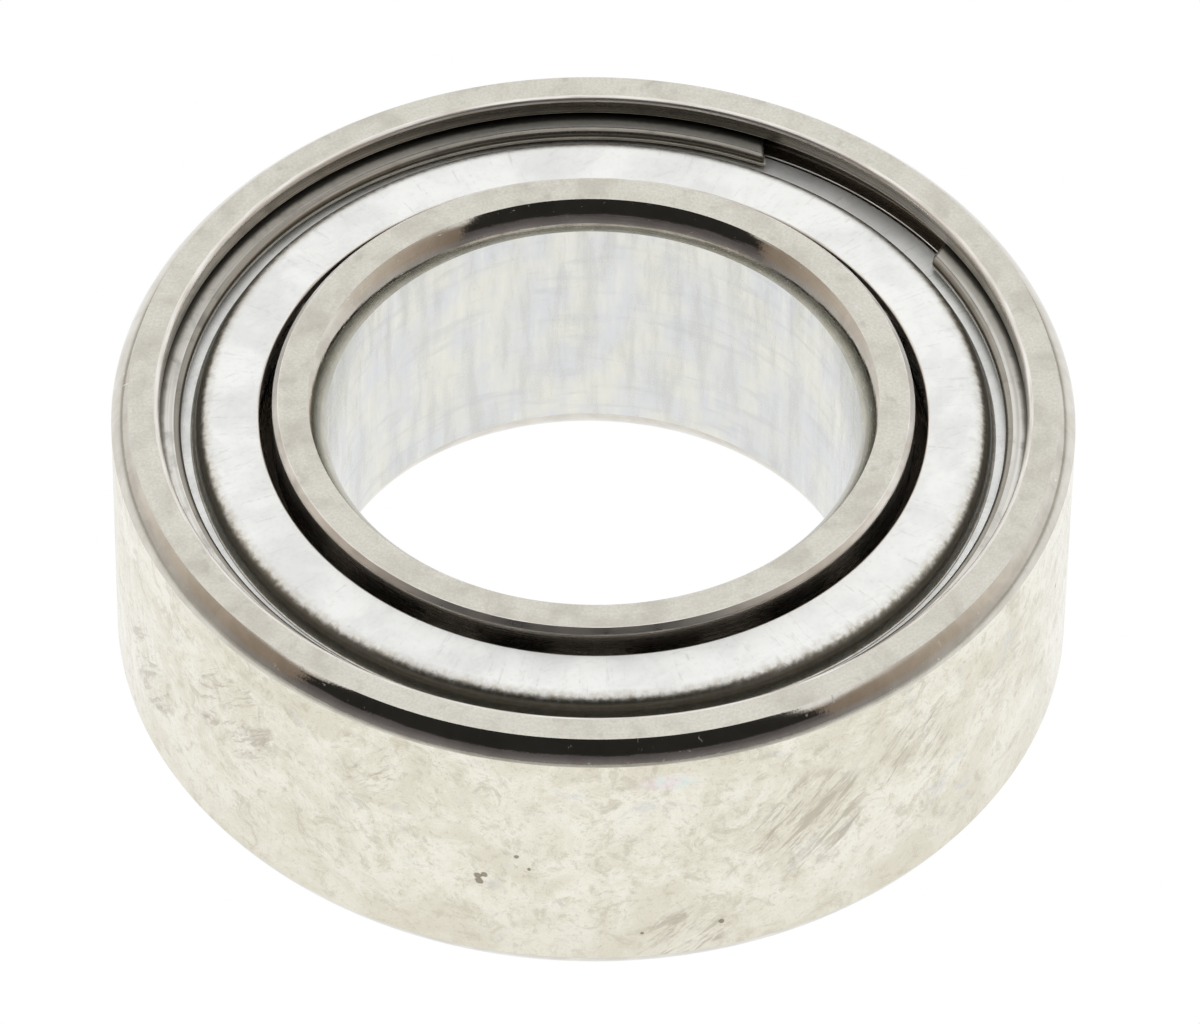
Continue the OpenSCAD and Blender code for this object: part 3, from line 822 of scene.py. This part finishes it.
add(lathe("outer_ring_ground", outer_ring_outline(), ring_o), "outer", "outer_ring")
add(lathe("inner_ring_ground", inner_ring_outline(), ring_i), "inner", "inner_ring")
add(lathe("upper_shield_sheet", shield_outline(), sheet), "outer", "upper_shield")
add(lathe("lower_shield_sheet", shield_outline(), sheet, mirror=True), "outer", "lower_shield")
add(snap_ring("upper_snap_ring_strip", snap, False), "outer", "upper_snap_ring")
add(snap_ring("lower_snap_ring_strip", snap, True), "outer", "lower_snap_ring")
for k in range(1, N_BALLS + 1):
    nm = "ball_%02d" % k
    add(ball_mesh(nm + "_lapped", k, BALL), "rolling_" + nm, nm)
add(cage_mesh("upper_cage_half_pressed", CAGE, False), "cage", "upper_cage_half")
add(cage_mesh("lower_cage_half_pressed", CAGE, True), "cage", "lower_cage_half")
add(rivets_mesh("cage_rivets_headed", RIVET), "cage", "cage_rivets")

# ================================================================ light, floor, camera
# A white light tent. The camera's side of it has a dark opening with ragged edges,
# dim grey below it, and a warm brown border where the tent's cloth is in shade.
w = Tree("studio_tent", world=True)
tc = w.node("ShaderNodeTexCoord")
d = w.vmath("NORMALIZE", tc.outputs["Generated"])
dx, dy, dz = w.split(d)
DEG = 180 / math.pi
jag = w.math("MULTIPLY", w.math("SUBTRACT", w.noise(d, 8.0, 5.0, 0.62, 0.4, seed=5.0), 0.5), 16.0)
soft = w.math("MULTIPLY", w.math("SUBTRACT", w.noise(d, 3.0, 3.0, 0.5, 0.2, seed=6.0), 0.5), 16.0)
up_deg = w.math("MULTIPLY", w.math("ARCSINE", dz), DEG)                          # height above the floor
side = w.math("MULTIPLY", w.math("ARCTAN2", dx, w.math("MULTIPLY", dy, -1.0)), DEG)   # 0 in front, + to the right
side = w.math("ABSOLUTE", w.math("ADD", side, 7.0))
sj = w.math("ADD", side, jag)
ej = w.math("ADD", up_deg, jag)
es = w.math("ADD", up_deg, soft)
front = w.span(sj, 56.0, 59.0, 1.0, 0.0)
tan = w.ramp(w.math("DIVIDE", side, 120.0),
             [(0.0, (0.24, 0.19, 0.155)), (0.48, (0.26, 0.21, 0.17)), (0.60, (0.38, 0.315, 0.26)), (0.75, (0.58, 0.51, 0.44)), (0.90, (0.84, 0.79, 0.74)), (1.0, (1, 1, 1))])
low = w.ramp(w.math("DIVIDE", side, 180.0),
             [(0.0, (0.24, 0.225, 0.225)), (0.32, (0.25, 0.235, 0.235)), (0.45, (0.46, 0.435, 0.42)), (0.60, (0.78, 0.75, 0.73)), (0.80, (1, 1, 1))])
col = w.mix(w.span(es, 34.0, 46.0), tan, (1.0, 1.0, 1.0))                        # the border keeps low at the sides
col = w.mix(w.span(es, 16.0, 8.0), col, low)
col = w.mix(w.math("MULTIPLY", front, w.span(ej, 66.0, 63.0)), col, (0.34, 0.28, 0.23))
grey = w.mix(w.span(es, 0.0, 20.0), (0.25, 0.235, 0.235), (0.115, 0.105, 0.11))
hole = w.mix(w.span(ej, 19.5, 21.5), grey, (0.027, 0.0255, 0.0235))
col = w.mix(w.math("MULTIPLY", front, w.span(ej, 62.5, 61.0)), col, hole)
col = w.mix(w.span(up_deg, -2.0, 0.0), (1.0, 1.0, 1.0), col)                     # all white below the floor's level
lp = w.node("ShaderNodeLightPath")
col = w.mix(lp.outputs["Is Camera Ray"], col, (1.0, 1.0, 1.0))
bg = w.node("ShaderNodeBackground")
w.put(bg.inputs["Color"], col)
bg.inputs["Strength"].default_value = 1.0
wo = w.node("ShaderNodeOutputWorld")
w.nt.links.new(bg.outputs[0], wo.inputs[0])
scene.world = w.id

# Floor: a back-lit white sheet, which is see-through from below.
f = Tree("backlit_floor")
em = f.node("ShaderNodeEmission")
em.inputs["Strength"].default_value = 1.0
ftc = f.node("ShaderNodeTexCoord")
far = f.math("MULTIPLY", f.vmath("LENGTH", ftc.outputs["Object"]), 1000.0)
flp = f.node("ShaderNodeLightPath")
dim = f.mix(f.span(far, 12.0, 45.0), (1.0, 1.0, 1.0), (0.52, 0.51, 0.475))      # the sheet is lit near the object only
f.put(em.inputs["Color"], f.mix(flp.outputs["Is Camera Ray"], dim, (1.0, 1.0, 1.0)))
tr = f.node("ShaderNodeBsdfTransparent")
geo = f.node("ShaderNodeNewGeometry")
mx = f.node("ShaderNodeMixShader")
f.nt.links.new(geo.outputs["Backfacing"], mx.inputs[0])
f.nt.links.new(em.outputs[0], mx.inputs[1])
f.nt.links.new(tr.outputs[0], mx.inputs[2])
fo = f.node("ShaderNodeOutputMaterial")
f.nt.links.new(mx.outputs[0], fo.inputs[0])
fm = bpy.data.meshes.new("floor")
z = cad_lo.z - 0.000004
fm.from_pydata([(-2, -2, z), (2, -2, z), (2, 2, z), (-2, 2, z)], [], [(0, 1, 2, 3)])
fm.materials.append(f.id)
floor = bpy.data.objects.new("floor", fm)
scene.collection.objects.link(floor)

# Camera: 45.2 degrees above the floor, far back with a long lens, rolled by 0.8 degrees.
el, dist, roll = math.radians(45.2), 0.09675, math.radians(0.77)
target = Vector((0, 0, cad_hi.z))
back = Vector((0, -math.cos(el), math.sin(el)))
pos = target + back * dist
focal = 10378.0                                      # in pixels of the 1200 wide frame
want = Vector((-6.3, 114.0))                         # where the target falls, right and up from the middle
fwd = -back
right = Vector((1, 0, 0)); up = right.cross(fwd)
right, up = right * math.cos(roll) + up * math.sin(roll), up * math.cos(roll) - right * math.sin(roll)
aim = want.copy()
for _ in range(5):
    fw = (fwd * focal - right * aim.x - up * aim.y).normalized()
    rt = (right - fw * right.dot(fw)).normalized()
    u2 = rt.cross(fw)
    v = target - pos
    got = Vector((v.dot(rt), v.dot(u2))) * (focal / v.dot(fw))
    aim += want - got
cam = bpy.data.cameras.new("camera")
cam.sensor_width = 36.0
cam.lens = focal / 1200.0 * 36.0
cam.clip_start, cam.clip_end = 0.001, 10.0
co = bpy.data.objects.new("camera", cam)
co.matrix_world = Matrix.Translation(pos) @ Matrix((rt, u2, -fw)).transposed().to_4x4()
scene.collection.objects.link(co)
scene.camera = co

scene.view_settings.view_transform = "Standard"
scene.view_settings.look = "None"
scene.view_settings.exposure = 0.0
scene.view_settings.gamma = 1.0
